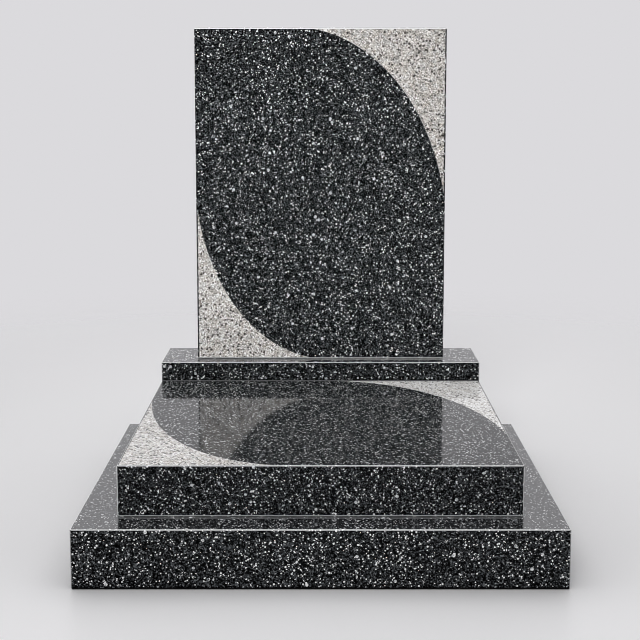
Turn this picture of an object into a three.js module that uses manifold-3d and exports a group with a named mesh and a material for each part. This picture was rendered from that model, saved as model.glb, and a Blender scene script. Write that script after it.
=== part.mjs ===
// A granite headstone of four dark blocks: a low base, a slab lying on it, a plinth
// standing behind both, and an upright tablet on the plinth. The tablet and the slab
// each have two opposite corners inlaid with light granite along a curved joint.
// Millimetres, +Z up, the front faces -Y, and the ground is at z = 0.

import * as THREE from "three";
import { mergeVertices } from "three/addons/utils/BufferGeometryUtils.js";
import Module from "manifold-3d";

// Base, the lowest and widest block
const baseWidth = 1200;
const baseHeight = 150;

// Slab, lying on the base
const slabDepth = 900;
const slabHeight = 130;
const sideStep = 100; // of the base left bare on each side of the slab
const frontStep = 90; // of the base left bare in front of the slab
const backOverhang = 30; // of the slab's back past the base's back

// Plinth, standing on the ground against the slab's back and flush with its sides
const plinthDepth = 220;
const plinthRise = 60; // of the plinth's top above the slab's top

// Tablet, upright in the middle of the plinth
const tabletWidth = 780;
const tabletHeight = 1040;
const tabletThickness = 120;

// Finish and fit of all blocks
const arris = 3; // width of the small slope along every edge of a block
const bedGap = 0.3; // where one block rests on or against another

// Light corners, let into shallow pockets and polished flush with the face round them
const inlayThickness = 20;
const inlayLip = 2; // dark stone between a light corner and the slope along the block's edge
const inlayGap = 0.3; // between a light corner and its pocket
const pocketOvercut = 1; // of the cutting solid past the face, so that the pocket is open
const curveSteps = 48;

// Each light corner's curve is a quarter of an ellipse, which bulges towards the corner.
// Its middle stands across and along from the block's corner. The overruns say how far
// the ellipse would pass the light corner's straight sides, which cut its ends short.
const slabFrontCurve = { across: 421, along: 744, overrunAcross: 4, overrunAlong: 3 };
const slabBackCurve = { across: 476, along: 715, overrunAcross: 4, overrunAlong: 3 };
const tabletUpperCurve = { across: 474, along: 654, overrunAcross: 12, overrunAlong: 6 };
const tabletLowerCurve = { across: 412, along: 591, overrunAcross: 9, overrunAlong: 6 };

// Sizes and places that follow from those above
const slabWidth = baseWidth - 2 * sideStep;
const plinthWidth = slabWidth;
const baseDepth = frontStep + slabDepth - backOverhang;
const overallDepth = frontStep + slabDepth + bedGap + plinthDepth;
const inlayMargin = arris + inlayLip;

const slabBottom = baseHeight + bedGap;
const slabTop = slabBottom + slabHeight;
const plinthHeight = slabTop + plinthRise;
const tabletBottom = plinthHeight + bedGap;

const baseFront = -overallDepth / 2;
const slabFront = baseFront + frontStep;
const plinthFront = slabFront + slabDepth + bedGap;
const plinthMiddle = plinthFront + plinthDepth / 2;

const darkGranite = { color: 0x2f3134, roughness: 0.12, metalness: 0, flatShading: true };
const lightGranite = { color: 0xb3afaa, roughness: 0.14, metalness: 0, flatShading: true };

const wasm = await Module();
wasm.setup();

// Drops everything but the corners and joins those that coincide
function welded(geometry) {
  const plain = geometry.clone();
  plain.deleteAttribute("normal");
  plain.deleteAttribute("uv");
  return mergeVertices(plain);
}

function toSolid(geometry) {
  const closed = welded(geometry);
  return new wasm.Manifold(new wasm.Mesh({
    numProp: 3,
    vertProperties: new Float32Array(closed.attributes.position.array),
    triVerts: new Uint32Array(closed.index.array),
  }));
}

function fromSolid(solid) {
  const mesh = solid.getMesh();
  const geometry = new THREE.BufferGeometry();
  geometry.setAttribute("position", new THREE.BufferAttribute(new Float32Array(mesh.vertProperties), 3));
  geometry.setIndex(new THREE.BufferAttribute(new Uint32Array(mesh.triVerts), 1));
  return geometry;
}

// A block centred on x and y with its bottom at z = 0 and every edge sloped off
function arrisedBlock(width, depth, height) {
  const sideX = width / 2;
  const sideY = depth / 2;
  const outline = new THREE.Shape();
  outline.moveTo(-sideX + arris, -sideY);
  outline.lineTo(sideX - arris, -sideY);
  outline.lineTo(sideX, -sideY + arris);
  outline.lineTo(sideX, sideY - arris);
  outline.lineTo(sideX - arris, sideY);
  outline.lineTo(-sideX + arris, sideY);
  outline.lineTo(-sideX, sideY - arris);
  outline.lineTo(-sideX, -sideY + arris);
  outline.closePath();
  const block = new THREE.ExtrudeGeometry(outline, {
    depth: height - 2 * arris,
    bevelEnabled: true,
    bevelThickness: arris,
    bevelSize: arris,
    bevelOffset: -arris,
    bevelSegments: 1,
  });
  return block.translate(0, 0, arris);
}

// The outline of a light corner on a face centred on zero. signX and signY say which
// corner of the face it is. A grow above zero makes it larger all round, for its pocket.
function cornerOutline(faceWidth, faceLength, corner, grow) {
  const { across, along, overrunAcross, overrunAlong } = corner.curve;
  const straightAcross = across - inlayMargin + grow;
  const straightAlong = along - inlayMargin + grow;
  const radiusAcross = across - inlayMargin + overrunAcross - grow;
  const radiusAlong = along - inlayMargin + overrunAlong - grow;
  const placed = (outX, outY) => new THREE.Vector2(
    corner.signX * (faceWidth / 2 - across + outX),
    corner.signY * (faceLength / 2 - along + outY),
  );
  const firstAngle = Math.asin(straightAlong / radiusAlong);
  const lastAngle = Math.acos(straightAcross / radiusAcross);
  const points = [placed(straightAcross, straightAlong)];
  for (let step = 0; step <= curveSteps; step += 1) {
    const angle = THREE.MathUtils.lerp(firstAngle, lastAngle, step / curveSteps);
    points.push(placed(radiusAcross * Math.cos(angle), radiusAlong * Math.sin(angle)));
  }
  return new THREE.Shape(points);
}

// A light corner, or with a grow its pocket, reaching down from the face at z = 0
function cornerSolid(faceWidth, faceLength, corner, grow) {
  const overcut = grow > 0 ? pocketOvercut : 0;
  const thickness = inlayThickness + grow;
  const outline = cornerOutline(faceWidth, faceLength, corner, grow);
  const solid = new THREE.ExtrudeGeometry(outline, { depth: thickness + overcut, bevelEnabled: false });
  return solid.translate(0, 0, -thickness);
}

function slabCorner(corner, grow) {
  return cornerSolid(slabWidth, slabDepth, corner, grow).translate(0, 0, slabHeight);
}

function tabletCorner(corner, grow) {
  const upright = cornerSolid(tabletWidth, tabletHeight, corner, grow).rotateX(Math.PI / 2);
  return upright.translate(0, -tabletThickness / 2, tabletHeight / 2);
}

// The block with a pocket cut for each light corner
function pocketed(block, cornerMaker, corners) {
  const pockets = corners.map((corner) => toSolid(cornerMaker(corner, inlayGap)));
  return fromSolid(pockets.reduce((solid, pocket) => solid.subtract(pocket), toSolid(block)));
}

const headstone = new THREE.Group();

function addPiece(name, geometry, finish, y, z) {
  const mesh = new THREE.Mesh(welded(geometry), new THREE.MeshStandardMaterial(finish));
  mesh.name = name;
  mesh.position.set(0, y, z);
  headstone.add(mesh);
}

// A dark block with its light corners, all placed together
function addInlaidBlock(name, block, cornerMaker, corners, y, z) {
  addPiece(name, pocketed(block, cornerMaker, corners), darkGranite, y, z);
  for (const corner of corners) {
    addPiece(corner.name, cornerMaker(corner, 0), lightGranite, y, z);
  }
}

const slabCorners = [
  { name: "slab_inlay_front", curve: slabFrontCurve, signX: -1, signY: -1 },
  { name: "slab_inlay_back", curve: slabBackCurve, signX: 1, signY: 1 },
];
const tabletCorners = [
  { name: "tablet_inlay_upper", curve: tabletUpperCurve, signX: 1, signY: 1 },
  { name: "tablet_inlay_lower", curve: tabletLowerCurve, signX: -1, signY: -1 },
];

const baseBlock = arrisedBlock(baseWidth, baseDepth, baseHeight);
const slabBlock = arrisedBlock(slabWidth, slabDepth, slabHeight);
const plinthBlock = arrisedBlock(plinthWidth, plinthDepth, plinthHeight);
const tabletBlock = arrisedBlock(tabletWidth, tabletThickness, tabletHeight);

addPiece("base", baseBlock, darkGranite, baseFront + baseDepth / 2, 0);
addInlaidBlock("slab", slabBlock, slabCorner, slabCorners, slabFront + slabDepth / 2, slabBottom);
addPiece("plinth", plinthBlock, darkGranite, plinthMiddle, 0);
addInlaidBlock("tablet", tabletBlock, tabletCorner, tabletCorners, plinthMiddle, tabletBottom);

export default headstone;
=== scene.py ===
import math

import bmesh
import bpy
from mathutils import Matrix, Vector


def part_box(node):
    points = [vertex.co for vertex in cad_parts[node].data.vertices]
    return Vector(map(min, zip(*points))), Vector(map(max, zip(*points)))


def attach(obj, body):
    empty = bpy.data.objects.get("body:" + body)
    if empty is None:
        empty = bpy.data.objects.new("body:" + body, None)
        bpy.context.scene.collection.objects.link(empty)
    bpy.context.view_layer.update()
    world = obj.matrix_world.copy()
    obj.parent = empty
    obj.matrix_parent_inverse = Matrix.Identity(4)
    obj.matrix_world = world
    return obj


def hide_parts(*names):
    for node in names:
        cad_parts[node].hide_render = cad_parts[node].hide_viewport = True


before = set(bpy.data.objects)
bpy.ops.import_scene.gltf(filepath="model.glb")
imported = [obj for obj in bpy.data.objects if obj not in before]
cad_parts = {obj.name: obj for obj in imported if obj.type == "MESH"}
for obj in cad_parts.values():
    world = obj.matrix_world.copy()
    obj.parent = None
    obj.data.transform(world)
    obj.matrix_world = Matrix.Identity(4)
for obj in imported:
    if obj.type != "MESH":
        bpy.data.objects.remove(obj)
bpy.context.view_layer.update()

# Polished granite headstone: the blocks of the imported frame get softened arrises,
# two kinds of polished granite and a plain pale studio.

scene = bpy.context.scene
scene.view_settings.view_transform = "Standard"
scene.cycles.filter_width = 0.95  # crisp, as the photograph is

millimetre = 0.001
neutral = (1.0, 1.0, 1.0, 1.0)


# Small helpers for node trees

def newMaterial(name):
    material = bpy.data.materials.new(name)
    material.use_nodes = True
    material.node_tree.nodes.clear()
    return material


class Graph:
    # Adds nodes to one tree and links them, so that a recipe reads from top to bottom
    def __init__(self, tree):
        self.tree = tree

    def add(self, kind, settings=None, inputs=None):
        node = self.tree.nodes.new(kind)
        for key, value in (settings or {}).items():
            setattr(node, key, value)
        for key, value in (inputs or {}).items():
            self.feed(node.inputs[key], value)
        return node

    def feed(self, socket, value):
        if isinstance(value, bpy.types.NodeSocket):
            self.tree.links.new(value, socket)
        elif isinstance(value, bpy.types.Node):
            self.tree.links.new(value.outputs[0], socket)
        else:
            socket.default_value = value

    def maths(self, operation, first, second=0.0, third=0.0, clamp=False):
        node = self.add("ShaderNodeMath", {"operation": operation, "use_clamp": clamp})
        for socket, value in zip(node.inputs, (first, second, third)):
            self.feed(socket, value)
        return node.outputs[0]

    def vectorMaths(self, operation, first, second):
        node = self.add("ShaderNodeVectorMath", {"operation": operation})
        self.feed(node.inputs[0], first)
        self.feed(node.inputs[1], second)
        return node.outputs[0]

    def ramp(self, value, stops):
        node = self.add("ShaderNodeValToRGB")
        band = node.color_ramp
        while len(band.elements) < len(stops):
            band.elements.new(0.5)
        for element, (place, grey) in zip(band.elements, stops):
            element.position = place
            element.color = (grey, grey, grey, 1.0)
        self.feed(node.inputs[0], value)
        return node.outputs[0]

    def blend(self, share, first, second, mode="MIX"):
        node = self.add("ShaderNodeMix", {"data_type": "RGBA", "blend_type": mode, "clamp_factor": True})
        self.feed(node.inputs[0], share)
        self.feed(node.inputs[6], first)
        self.feed(node.inputs[7], second)
        return node.outputs[2]

    def crystals(self, coordinates, size, seed=0.0):
        # Cells about size metres across. The seed moves the pattern through the stone
        moved = self.vectorMaths("ADD", coordinates, (seed, seed * 0.7, seed * 1.3))
        return self.add(
            "ShaderNodeTexVoronoi",
            {"feature": "F1", "voronoi_dimensions": "3D"},
            {"Vector": moved, "Scale": 1.0 / size, "Randomness": 1.0},
        )

    def spots(self, coordinates, size, seed, share, reach):
        # A mask of round spots in some of the crystals, and the random numbers of each. The
        # reach is a number, or a function that makes one from the random numbers
        cells = self.crystals(coordinates, size, seed)
        pick = self.draws(cells)
        if callable(reach):
            reach = reach(pick)
        chosen = self.maths("GREATER_THAN", pick[1], 1.0 - share)
        inside = self.maths("LESS_THAN", cells.outputs["Distance"], reach)
        return self.maths("MULTIPLY", chosen, inside), pick

    def cloud(self, coordinates, size, detail, roughness=0.5):
        return self.add(
            "ShaderNodeTexNoise",
            {"noise_dimensions": "3D"},
            {"Vector": coordinates, "Scale": 1.0 / size, "Detail": detail, "Roughness": roughness},
        )

    def span(self, value, fromLow, fromHigh, toLow=0.0, toHigh=1.0, interpolation="LINEAR"):
        node = self.add(
            "ShaderNodeMapRange",
            {"interpolation_type": interpolation},
            {
                "Value": value,
                "From Min": fromLow,
                "From Max": fromHigh,
                "To Min": toLow,
                "To Max": toHigh,
            },
        )
        return node.outputs[0]

    def finish(self, surface):
        self.add("ShaderNodeOutputMaterial", None, {"Surface": surface})

    def draws(self, cells):
        # Three random numbers for each crystal. Its own colour isn't used as it is, because
        # that also says where in its cell the crystal lies
        noise = self.add(
            "ShaderNodeTexWhiteNoise",
            {"noise_dimensions": "3D"},
            {"Vector": cells.outputs["Color"]},
        )
        node = self.add("ShaderNodeSeparateColor")
        self.feed(node.inputs[0], noise.outputs["Color"])
        return node.outputs


def stoneCoordinates(graph, ragged, raggedSize):
    # Object coordinates, nudged a little so that crystals have ragged outlines
    place = graph.add("ShaderNodeTexCoord").outputs["Object"]
    noise = graph.cloud(place, raggedSize, detail=2.0).outputs["Color"]
    centred = graph.vectorMaths("SUBTRACT", noise, (0.5, 0.5, 0.5))
    scaled = graph.add("ShaderNodeVectorMath", {"operation": "SCALE"}, {0: centred, "Scale": ragged})
    return place, graph.vectorMaths("ADD", place, scaled.outputs[0])


# Dark granite

darkStone = {
    "grain": 3.3 * millimetre,
    "ragged": 0.45 * millimetre,
    "raggedSize": 1.6 * millimetre,
    # Most grains are near black, some are grey and a few are white
    "tones": [(0.0, 0.0), (0.38, 0.001), (0.6, 0.026), (0.85, 0.085), (0.95, 0.2), (0.968, 0.95), (1.0, 1.0)],
    "fleckSpacing": 8.5 * millimetre,
    "fleckSeed": 7.7,
    "fleckShare": 0.06,
    "fleckReach": 0.36,  # of the spacing
    "fleckTone": (0.7, 1.0),
    "crystalSpacing": 26.0 * millimetre,
    "crystalSeed": 12.9,
    "crystalShare": 0.12,
    "crystalReach": 0.20,  # of the spacing
    "crystalTone": (0.3, 0.9),
    "tint": (0.915, 1.0, 1.085, 1.0),
    "otherTint": (0.95, 1.0, 1.05, 1.0),
    "roughness": 0.05,
    "roughnessSpread": 0.05,
    "headOnGloss": (0.01, 0.01, 0.01, 1.0),  # a deep polish mirrors little when looked at head on
    "refraction": 1.5,
    "topRefraction": 2.3,  # of the tops that mirror more of the backdrop
    "topGloss": (1.0, 1.0, 1.0, 1.0),
    # Painted contact shadow: the blocks that stand on the ground are painted darker at their foot
    "footShadowFrom": 5.0 * millimetre,  # the blocks on the ground are darkest below this height
    "footShadowTo": 9.0 * millimetre,  # and have their own tone above this one
    "footShadowTone": 0.03,
}
# The blocks come from different parts of the quarry, so each one has its own fineness of grain. Their
# paleness is painted light: a tone gain set block by block in place of the light and shade each block gets
blockStone = {
    "base": {"fineness": 0.84, "palenessAndPaintedLight": 1.12},
    "slab": {"fineness": 0.8, "palenessAndPaintedLight": 0.9},
    "plinth": {"fineness": 0.92, "palenessAndPaintedLight": 0.8},
    "tablet": {"fineness": 0.92, "palenessAndPaintedLight": 1.0},
}
# The tops of the base and plinth are lit and shaded copies of their stone: painted light makes the plinth's
# top paler than its face and the base's top darker
topStone = {  # of the tops that mirror more of the backdrop
    "base": {"fineness": 0.84, "palenessAndPaintedLight": 0.9},
    "plinth": {"fineness": 0.92, "palenessAndPaintedLight": 1.2},
}
plainStone = {"fineness": 0.9, "palenessAndPaintedLight": 0.9}  # of arrises, backs and undersides
# The thin line that the jointing leaves on the plinth's face, just above the slab, and over it a band of
# painted shade where the plinth meets the slab
jointLineAndShade = {
    "height": 2.4 * millimetre,
    "shadeHeight": 5.0 * millimetre,
    "reach": 1.0 * millimetre,  # into the plinth, so that only its face shows the line
    "colour": (0.11, 0.112, 0.116, 1.0),
    "shade": 0.35,
}


def darkMineral(graph, look, stone=plainStone):
    fineness = stone["fineness"]
    place, ragged = stoneCoordinates(graph, look["ragged"] * fineness, look["raggedSize"] * fineness)
    grain = graph.draws(graph.crystals(ragged, look["grain"] * fineness))
    tone = graph.ramp(grain[0], look["tones"])
    # Larger pale crystals, broken up by the grain
    size = look["crystalSpacing"] * fineness
    mask = graph.spots(ragged, size, look["crystalSeed"], look["crystalShare"], look["crystalReach"])[0]
    least, most = look["crystalTone"]
    pale = graph.maths("MULTIPLY_ADD", grain[1], most - least, least)
    tone = graph.maths("MAXIMUM", tone, graph.maths("MULTIPLY", mask, pale))
    # White flecks
    size = look["fleckSpacing"] * fineness
    mask, pick = graph.spots(ragged, size, look["fleckSeed"], look["fleckShare"], look["fleckReach"])
    least, most = look["fleckTone"]
    white = graph.maths("MULTIPLY_ADD", pick[2], most - least, least)
    tone = graph.maths("MAXIMUM", tone, graph.maths("MULTIPLY", mask, white))
    # Painted light: the tone gain of the block, or of its top
    tone = graph.maths("MULTIPLY", tone, stone["palenessAndPaintedLight"])
    height = graph.add("ShaderNodeSeparateXYZ", None, {0: place}).outputs["Z"]
    # Painted contact shadow: darker towards the ground at the foot of the blocks
    foot = graph.span(height, look["footShadowFrom"], look["footShadowTo"], look["footShadowTone"])
    tone = graph.maths("MULTIPLY", tone, foot)
    tint = graph.blend(grain[2], look["tint"], look["otherTint"])
    tint = graph.blend(tone, tint, neutral)  # the whites are neutral
    colour = graph.blend(1.0, tone, tint, mode="MULTIPLY")
    return place, colour, grain


def drawJointAndShade(graph, place, colour):
    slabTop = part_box("slab")[1][2]
    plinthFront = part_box("plinth")[0][1]
    axes = graph.add("ShaderNodeSeparateXYZ", None, {0: place}).outputs
    front = graph.maths("LESS_THAN", axes["Y"], plinthFront + jointLineAndShade["reach"])
    above = graph.maths("GREATER_THAN", axes["Z"], slabTop)
    face = graph.maths("MULTIPLY", front, above)
    line = graph.maths("LESS_THAN", axes["Z"], slabTop + jointLineAndShade["height"])
    # Painted shade: the plinth's face is darker in a band just above the slab
    shade = graph.maths("LESS_THAN", axes["Z"], slabTop + jointLineAndShade["shadeHeight"])
    darker = graph.blend(1.0, colour, (*[jointLineAndShade["shade"]] * 3, 1.0), mode="MULTIPLY")
    colour = graph.blend(graph.maths("MULTIPLY", face, shade), colour, darker)
    return graph.blend(graph.maths("MULTIPLY", face, line), colour, jointLineAndShade["colour"])


def darkGranite(name, stone, refraction, gloss, jointedAndShaded=False):
    look = darkStone
    material = newMaterial(name)
    graph = Graph(material.node_tree)
    place, colour, grain = darkMineral(graph, look, stone)
    if jointedAndShaded:
        colour = drawJointAndShade(graph, place, colour)
    roughness = graph.maths("MULTIPLY_ADD", grain[2], look["roughnessSpread"], look["roughness"])
    shader = graph.add(
        "ShaderNodeBsdfPrincipled",
        None,
        {
            "Base Color": colour,
            "Roughness": roughness,
            "IOR": refraction,
            "Specular Tint": gloss,
        },
    )
    graph.finish(shader)
    return material


# Light granite

lightStone = {
    "grain": 3.0 * millimetre,
    "grainSeed": 5.3,
    "clouding": 13.0 * millimetre,
    "cloudSeed": 9.1,
    "ragged": 0.8 * millimetre,
    "raggedSize": 2.0 * millimetre,
    "tones": [(0.0, 0.07), (0.1, 0.24), (0.3, 0.42), (0.5, 0.56), (0.75, 0.74), (0.88, 0.98), (1.0, 1.0)],
    "cloudTones": [(0.0, 0.9), (1.0, 1.1)],
    "speckSpacing": 8.5 * millimetre,
    "speckSeed": 14.9,
    "speckShare": 0.36,
    "speckReach": (0.29, 0.45),  # of the spacing, least and most
    "speckColour": (0.035, 0.031, 0.028, 1.0),
    "warm": (1.0, 0.91, 0.80, 1.0),
    "cool": (1.0, 0.965, 0.93, 1.0),
    "roughness": 0.06,
    "roughnessSpread": 0.05,
    "headOnGloss": (0.1, 0.1, 0.1, 1.0),
}
# Tone gain of each light corner, painted light: the slab's back corner, in the shade of the plinth and
# tablet, is painted paler, and the tablet's upper corner darker than its lower one
cornerPaintedLight = {
    "slab_inlay_front": 1.14,
    "slab_inlay_back": 1.5,
    "tablet_inlay_upper": 0.88,
    "tablet_inlay_lower": 1.01,
}


def lightGranite(node):
    look = lightStone
    material = newMaterial("polished_light_granite_" + node)
    graph = Graph(material.node_tree)
    ragged = stoneCoordinates(graph, look["ragged"], look["raggedSize"])[1]
    grain = graph.draws(graph.crystals(ragged, look["grain"], look["grainSeed"]))
    cloud = graph.draws(graph.crystals(ragged, look["clouding"], look["cloudSeed"]))
    tone = graph.ramp(grain[0], look["tones"])
    tone = graph.maths("MULTIPLY", tone, graph.ramp(cloud[0], look["cloudTones"]))
    # Painted light: each corner's tone is raised or lowered by its own gain
    tone = graph.maths("MULTIPLY", tone, cornerPaintedLight[node], clamp=True)
    tint = graph.blend(cloud[1], look["warm"], look["cool"])
    whiteness = graph.maths("POWER", tone, 2.0)
    tint = graph.blend(whiteness, tint, neutral)
    colour = graph.blend(1.0, tone, tint, mode="MULTIPLY")
    # Black mica
    least, most = look["speckReach"]
    mask = graph.spots(
        ragged,
        look["speckSpacing"],
        look["speckSeed"],
        look["speckShare"],
        lambda pick: graph.maths("MULTIPLY_ADD", pick[2], most - least, least),
    )[0]
    colour = graph.blend(mask, colour, look["speckColour"])
    roughness = graph.maths("MULTIPLY_ADD", grain[2], look["roughnessSpread"], look["roughness"])
    shader = graph.add(
        "ShaderNodeBsdfPrincipled",
        None,
        {"Base Color": colour, "Roughness": roughness, "Specular Tint": look["headOnGloss"]},
    )
    graph.finish(shader)
    return material


# Ground arrises, paler or darker than the polished faces. Ground granite is paler than polished, and the pale
# share of each kind of arris is also painted light: the brightest, on upper arrises, is a painted highlight,
# and the near-black lower arrises of the base and plinth are painted shade

arrisLook = {
    # The pale tone is ground granite with a painted highlight; the dark tone is painted shade
    "pale": (0.88, 0.885, 0.89, 1.0),
    "dark": (0.002, 0.002, 0.002, 1.0),
    "paleGloss": 0.5,
    "darkGloss": 0.05,
    "roughness": 0.4,
    "mottleSize": 14.0 * millimetre,
    "mottleSpan": (0.35, 0.65),
    "bumpHeight": 0.1 * millimetre,
}


def groundArrisWithPaintedLight(name, tone, least, most):
    # The share of the pale or dark tone wanders from least to most along the edge
    material = newMaterial(name)
    graph = Graph(material.node_tree)
    place, colour, grain = darkMineral(graph, darkStone)
    mottle = graph.cloud(place, arrisLook["mottleSize"], detail=4.0, roughness=0.6)
    mottleLow, mottleHigh = arrisLook["mottleSpan"]
    share = graph.span(mottle.outputs[0], mottleLow, mottleHigh, least, most)
    colour = graph.blend(share, colour, arrisLook[tone])
    bump = graph.add(
        "ShaderNodeBump",
        None,
        {"Height": grain[1], "Distance": arrisLook["bumpHeight"], "Strength": 0.5},
    )
    shader = graph.add(
        "ShaderNodeBsdfPrincipled",
        None,
        {
            "Base Color": colour,
            "Roughness": arrisLook["roughness"],
            "Specular IOR Level": arrisLook[tone + "Gloss"],
            "Normal": bump.outputs[0],
        },
    )
    graph.finish(shader)
    return material


# Backs, honed but not polished

honedLook = {
    "grey": (0.10, 0.102, 0.106, 1.0),
    "greyShare": 0.3,
    "roughness": 0.42,
    "roughnessSpread": 0.12,
    "bumpHeight": 0.05 * millimetre,
}


def honedGranite():
    material = newMaterial("honed_dark_granite")
    graph = Graph(material.node_tree)
    colour, grain = darkMineral(graph, darkStone)[1:]
    colour = graph.blend(honedLook["greyShare"], colour, honedLook["grey"])
    roughness = graph.maths("MULTIPLY_ADD", grain[2], honedLook["roughnessSpread"], honedLook["roughness"])
    bump = graph.add(
        "ShaderNodeBump",
        None,
        {"Height": grain[1], "Distance": honedLook["bumpHeight"], "Strength": 0.4},
    )
    shader = graph.add(
        "ShaderNodeBsdfPrincipled",
        None,
        {"Base Color": colour, "Roughness": roughness, "Normal": bump.outputs[0]},
    )
    graph.finish(shader)
    return material


# Undersides, left as the saw cut them

sawnLook = {
    "grey": (0.16, 0.163, 0.168, 1.0),
    "greyShare": 0.7,
    "lineSpacing": 6.0 * millimetre,
    "lineHeight": 0.3 * millimetre,
    "lineWaver": 1.5,
    "roughness": 0.8,
}
bandsPerUnit = 0.314  # a wave texture's scale for one band a metre


def sawnGranite():
    material = newMaterial("sawn_dark_granite")
    graph = Graph(material.node_tree)
    place, colour = darkMineral(graph, darkStone)[:2]
    waves = graph.add(
        "ShaderNodeTexWave",
        {"wave_type": "BANDS", "bands_direction": "X"},
        {
            "Vector": place,
            "Scale": bandsPerUnit / sawnLook["lineSpacing"],
            "Distortion": sawnLook["lineWaver"],
            "Detail": 2.0,
        },
    )
    colour = graph.blend(sawnLook["greyShare"], colour, sawnLook["grey"])
    bump = graph.add(
        "ShaderNodeBump",
        None,
        {"Height": waves.outputs["Fac"], "Distance": sawnLook["lineHeight"], "Strength": 0.6},
    )
    shader = graph.add(
        "ShaderNodeBsdfPrincipled",
        None,
        {"Base Color": colour, "Roughness": sawnLook["roughness"], "Normal": bump.outputs[0]},
    )
    graph.finish(shader)
    return material


# Arrises: the pale ones carry a painted highlight, the dark one painted shade
looks = {
    "highlitArris": groundArrisWithPaintedLight("bright_arris_ground_and_painted_highlight", "pale", 0.95, 1.0),
    "paleArris": groundArrisWithPaintedLight("pale_arris_ground_and_painted_light", "pale", 0.7, 0.95),
    "mildArris": groundArrisWithPaintedLight("mild_arris_ground_and_painted_light", "pale", 0.5, 0.7),
    "softArris": groundArrisWithPaintedLight("soft_arris_ground_and_painted_light", "pale", 0.15, 0.45),
    "shadedArris": groundArrisWithPaintedLight("dark_arris_painted_shade", "dark", 0.9, 1.0),
    "honed": honedGranite(),
    "sawn": sawnGranite(),
}
for block, stone in blockStone.items():
    name = "polished_dark_granite_" + block
    looks[block + "Polish"] = darkGranite(
        name,
        stone,
        darkStone["refraction"],
        darkStone["headOnGloss"],
        jointedAndShaded=block == "plinth",
    )
for block, stone in topStone.items():
    name = "polished_dark_granite_top_" + block
    looks[block + "Top"] = darkGranite(name, stone, darkStone["topRefraction"], darkStone["topGloss"])
for corner in cornerPaintedLight:
    looks[corner] = lightGranite(corner)
print("granites mixed")


# Blocks and light corners, cut from the frame's own solids

stoneCut = {
    "arrisSoftening": 0.9 * millimetre,  # rounding where a face turns into its arris
    "jointSoftening": 0.12 * millimetre,  # rounding along the joint round a light corner
    "softeningSteps": 2,
    "flatAngle": math.radians(1.0),  # faces closer in angle than this are one face
    "arrisLeast": math.radians(5.0),  # an edge borders an arris if it is sharper than this
    "arrisTilt": math.radians(60.0),  # and less sharp than this
    "weldReach": 0.01 * millimetre,
    "smallFace": 0.002,  # square metres, and smaller faces are shaded smooth
}


def cleanCopy(node):
    # One closed mesh with whole faces, from the loose triangles of a CAD node
    solid = bmesh.new()
    solid.from_mesh(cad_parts[node].data)
    bmesh.ops.remove_doubles(solid, verts=solid.verts, dist=stoneCut["weldReach"])
    bmesh.ops.dissolve_limit(
        solid,
        angle_limit=stoneCut["flatAngle"],
        verts=solid.verts,
        edges=solid.edges,
    )
    bmesh.ops.recalc_face_normals(solid, faces=solid.faces)
    return solid


def soften(solid, chooses, width):
    edges = [edge for edge in solid.edges if edge.is_manifold and chooses(edge)]
    if edges:
        bmesh.ops.bevel(
            solid,
            geom=edges,
            offset=width,
            segments=stoneCut["softeningSteps"],
            profile=0.5,
            affect="EDGES",
            clamp_overlap=True,
        )


def bordersArris(edge):
    return stoneCut["arrisLeast"] < edge.calc_face_angle() < stoneCut["arrisTilt"]


def isSharp(edge):
    return edge.calc_face_angle() > stoneCut["arrisTilt"]


# Which finish each kind of face gets, block by block: the upper arrises take a painted highlight and the
# lower arrises of the base and plinth painted shade. The two numbers say between which slopes a face of an
# upper edge counts as ground and takes that painted highlight
blockFinish = {
    "base": {
        "face": "basePolish",
        "top": "baseTop",
        "upper": "highlitArris",
        "upright": "softArris",
        "lower": "shadedArris",
        "back": "honed",
        "under": "sawn",
        "ground": (0.6, 0.8),
    },
    "slab": {
        "face": "slabPolish",
        "top": "slabPolish",
        "upper": "paleArris",
        "upright": "paleArris",
        "lower": "paleArris",
        "back": "honed",
        "under": "sawn",
        "ground": (0.6, 0.8),
    },
    "plinth": {
        "face": "plinthPolish",
        "top": "plinthTop",
        "upper": "mildArris",
        "upright": "softArris",
        "lower": "shadedArris",
        "back": "honed",
        "under": "sawn",
        "ground": (0.6, 0.8),
    },
    "tablet": {
        "face": "tabletPolish",
        "top": "tabletPolish",
        "upper": "highlitArris",
        "upright": "tabletPolish",
        "lower": "paleArris",
        "back": "honed",
        "under": "sawn",
        "ground": (0.1, 0.8),
    },
}


# Which way a face looks, as the height, width or depth of its unit normal
facing = {
    "level": 0.95,  # a top from here up
    "under": -0.99,  # an underside below this
    "overhang": -0.15,  # a lower edge below this
    "plumb": 0.1,  # an upright face within this
    "diagonal": (0.55, 0.85),  # an upright edge between these
    "back": 0.99,
}


def paintFaces(solid, finish):
    # Gives each face its material and returns the materials in their order
    order = ["face", "upper", "upright", "lower", "back", "under", "top"]
    steep, flat = finish["ground"]
    least, most = facing["diagonal"]
    for face in solid.faces:
        across, along, upright = face.normal
        face.smooth = face.calc_area() < stoneCut["smallFace"]
        kind = "face"
        if upright > facing["level"]:
            kind = "top"
        elif steep < upright < flat:
            kind = "upper"
        elif facing["under"] < upright < facing["overhang"]:
            kind = "lower"
        elif upright < facing["under"]:
            kind = "under"
        elif abs(upright) < facing["plumb"] and least < abs(across) < most:
            kind = "upright"
        elif along > facing["back"]:
            kind = "back"
        face.material_index = order.index(kind)
    return [looks[finish[kind]] for kind in order]


def finishPiece(solid, name, node, materials):
    mesh = bpy.data.meshes.new(name)
    solid.to_mesh(mesh)
    solid.free()
    piece = bpy.data.objects.new(name, mesh)
    scene.collection.objects.link(piece)
    for material in materials:
        mesh.materials.append(material)
    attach(piece, "root")
    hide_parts(node)
    return piece


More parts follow.
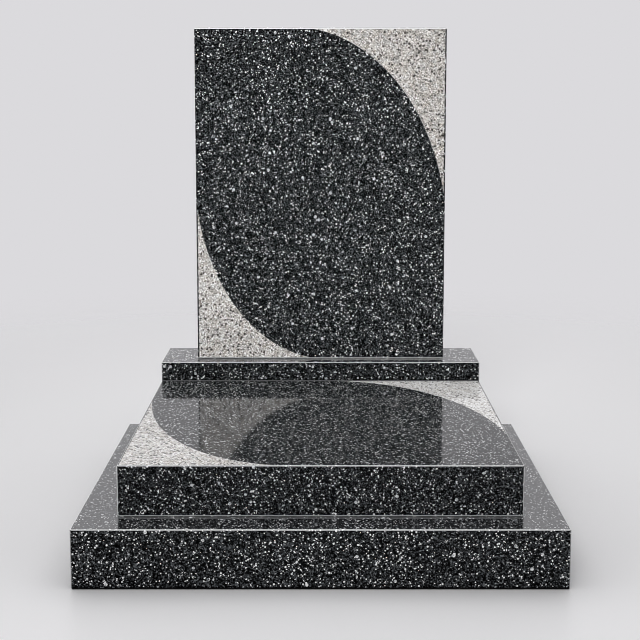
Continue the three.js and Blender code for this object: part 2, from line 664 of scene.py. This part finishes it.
def cutBlock(node):
    solid = cleanCopy(node)
    soften(solid, bordersArris, stoneCut["arrisSoftening"])
    soften(solid, isSharp, stoneCut["jointSoftening"])
    materials = paintFaces(solid, blockFinish[node])
    return finishPiece(solid, node + "_stone", node, materials)


def cutLightCorner(node):
    solid = cleanCopy(node)
    soften(solid, isSharp, stoneCut["jointSoftening"])
    for face in solid.faces:
        face.smooth = False
    return finishPiece(solid, node + "_stone", node, [looks[node]])


blocks = ["base", "slab", "plinth", "tablet"]
lightCorners = ["slab_inlay_front", "slab_inlay_back", "tablet_inlay_upper", "tablet_inlay_lower"]
for node in blocks:
    piece = cutBlock(node)
    print(piece.name, len(piece.data.polygons), "faces")
for node in lightCorners:
    piece = cutLightCorner(node)
    print(piece.name, len(piece.data.polygons), "faces")
print("stones cut")


# Camera at the photograph's viewing angle

cameraPlan = {
    "standOff": 2.9297,  # from the base's front to the camera
    "height": 1.2011,
    "pitch": math.radians(7.042),  # downwards
    "lens": 71.515,
    "shiftUp": -0.12,  # small enough for the stones to stay in frame from other sides
    "shiftAcross": -0.0008,
    "sensor": 36.0,
    "nearest": 0.05,
    "farthest": 60.0,
}


def placeCamera(plan):
    data = bpy.data.cameras.new("camera")
    data.sensor_width = plan["sensor"]
    data.lens = plan["lens"]
    data.shift_x = plan["shiftAcross"]
    data.shift_y = plan["shiftUp"]
    data.clip_start = plan["nearest"]
    data.clip_end = plan["farthest"]
    camera = bpy.data.objects.new("camera", data)
    scene.collection.objects.link(camera)
    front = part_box("base")[0][1]
    camera.location = (0.0, front - plan["standOff"], plan["height"])
    camera.rotation_euler = (math.pi / 2 - plan["pitch"], 0.0, 0.0)
    scene.camera = camera


placeCamera(cameraPlan)
print("camera placed")


# Plain pale studio

studio = {
    "backdrop": (0.708, 0.701, 0.723),
    "ambient": 0.30,  # share of the backdrop's light that falls on the stones
    "floorPale": (0.995, 0.99, 1.0, 1.0),
    "floorBack": 0.845,  # of the floor's brightness behind, where less light reaches it
    "poolFrom": -1.05,  # the floor darkens from here in front of the stones
    "poolTo": -0.25,  # to here
    "footShade": 0.5,  # how much deeper the floor's shade gets beside the stones
    "footShadeReach": 0.8,
    "footShadeSamples": 8,
    "floorBounce": 0.5,  # share of the floor's light that gets back to the stones
    "floorRoughness": 0.4,
    "floorRadius": 6.0,
    "floorSides": 96,
    "fadeFrom": 1.3,  # the floor fades into the backdrop from this far out
    "fadeTo": 4.2,
}
dome = {
    "place": (0.0, 0.0, 4.0),
    "tilt": (math.radians(3.0), math.radians(-6.0)),
    "strength": 1.55,
    "angle": math.radians(100.0),
}
frontLight = {
    "place": (-0.6, -3.4, 2.7),
    "aim": (0.0, 0.43, 0.9),
    "size": (1.4, 0.9),
    "watts": 11.5,
    "spread": math.radians(50.0),
}


def paintWorld():
    world = bpy.data.worlds.new("studio")
    scene.world = world
    world.use_nodes = True
    world.node_tree.nodes.clear()
    graph = Graph(world.node_tree)
    path = graph.add("ShaderNodeLightPath")
    seen = graph.maths("MAXIMUM", path.outputs["Is Camera Ray"], path.outputs["Is Glossy Ray"])
    strength = graph.maths("MULTIPLY_ADD", seen, 1.0 - studio["ambient"], studio["ambient"])
    background = graph.add(
        "ShaderNodeBackground",
        None,
        {"Color": (*studio["backdrop"], 1.0), "Strength": strength},
    )
    graph.add("ShaderNodeOutputWorld", None, {"Surface": background})


def layFloor():
    # A disc that fades into the backdrop, so that no edge of it shows
    solid = bmesh.new()
    bmesh.ops.create_circle(
        solid,
        cap_ends=True,
        segments=studio["floorSides"],
        radius=studio["floorRadius"],
    )
    mesh = bpy.data.meshes.new("studio_floor")
    solid.to_mesh(mesh)
    solid.free()
    floor = bpy.data.objects.new("studio_floor", mesh)
    scene.collection.objects.link(floor)
    material = newMaterial("pale_floor")
    graph = Graph(material.node_tree)
    place = graph.add("ShaderNodeTexCoord").outputs["Object"]
    reach = graph.add("ShaderNodeVectorMath", {"operation": "LENGTH"}, {0: place}).outputs["Value"]
    fade = graph.span(reach, studio["fadeFrom"], studio["fadeTo"], interpolation="SMOOTHSTEP")
    openness = graph.add(
        "ShaderNodeAmbientOcclusion",
        {"samples": studio["footShadeSamples"]},
        {"Distance": studio["footShadeReach"]},
    ).outputs["AO"]
    lit = graph.maths("MULTIPLY_ADD", openness, studio["footShade"], 1.0 - studio["footShade"])
    bounced = graph.add("ShaderNodeLightPath").outputs["Is Diffuse Ray"]
    kept = graph.maths("MULTIPLY_ADD", bounced, studio["floorBounce"] - 1.0, 1.0)
    along = graph.add("ShaderNodeSeparateXYZ", None, {0: place}).outputs["Y"]
    pool = graph.span(along, studio["poolFrom"], studio["poolTo"], 1.0, studio["floorBack"], "SMOOTHSTEP")
    brightness = graph.maths("MULTIPLY", graph.maths("MULTIPLY", lit, kept), pool)
    colour = graph.blend(1.0, studio["floorPale"], brightness, mode="MULTIPLY")
    pale = graph.add(
        "ShaderNodeBsdfPrincipled",
        None,
        {"Base Color": colour, "Roughness": studio["floorRoughness"]},
    )
    clear = graph.add("ShaderNodeBsdfTransparent")
    graph.finish(graph.add("ShaderNodeMixShader", None, {0: fade, 1: pale, 2: clear}))
    mesh.materials.append(material)


def hangDome():
    # Soft light from above, the same all over the floor
    data = bpy.data.lights.new("dome", "SUN")
    data.energy = dome["strength"]
    data.angle = dome["angle"]
    lamp = bpy.data.objects.new("dome", data)
    scene.collection.objects.link(lamp)
    lamp.location = dome["place"]
    lamp.rotation_euler = (dome["tilt"][0], dome["tilt"][1], 0.0)


def hangFrontLight():
    data = bpy.data.lights.new("front", "AREA")
    data.shape = "RECTANGLE"
    data.size, data.size_y = frontLight["size"]
    data.energy = frontLight["watts"]
    data.spread = frontLight["spread"]
    lamp = bpy.data.objects.new("front", data)
    scene.collection.objects.link(lamp)
    lamp.location = frontLight["place"]
    aim = Vector(frontLight["aim"]) - Vector(frontLight["place"])
    lamp.rotation_euler = aim.to_track_quat("-Z", "Y").to_euler()
    lamp.visible_camera = False
    lamp.visible_glossy = False


paintWorld()
layFloor()
hangDome()
hangFrontLight()
print("studio lit")

bpy.context.view_layer.update()
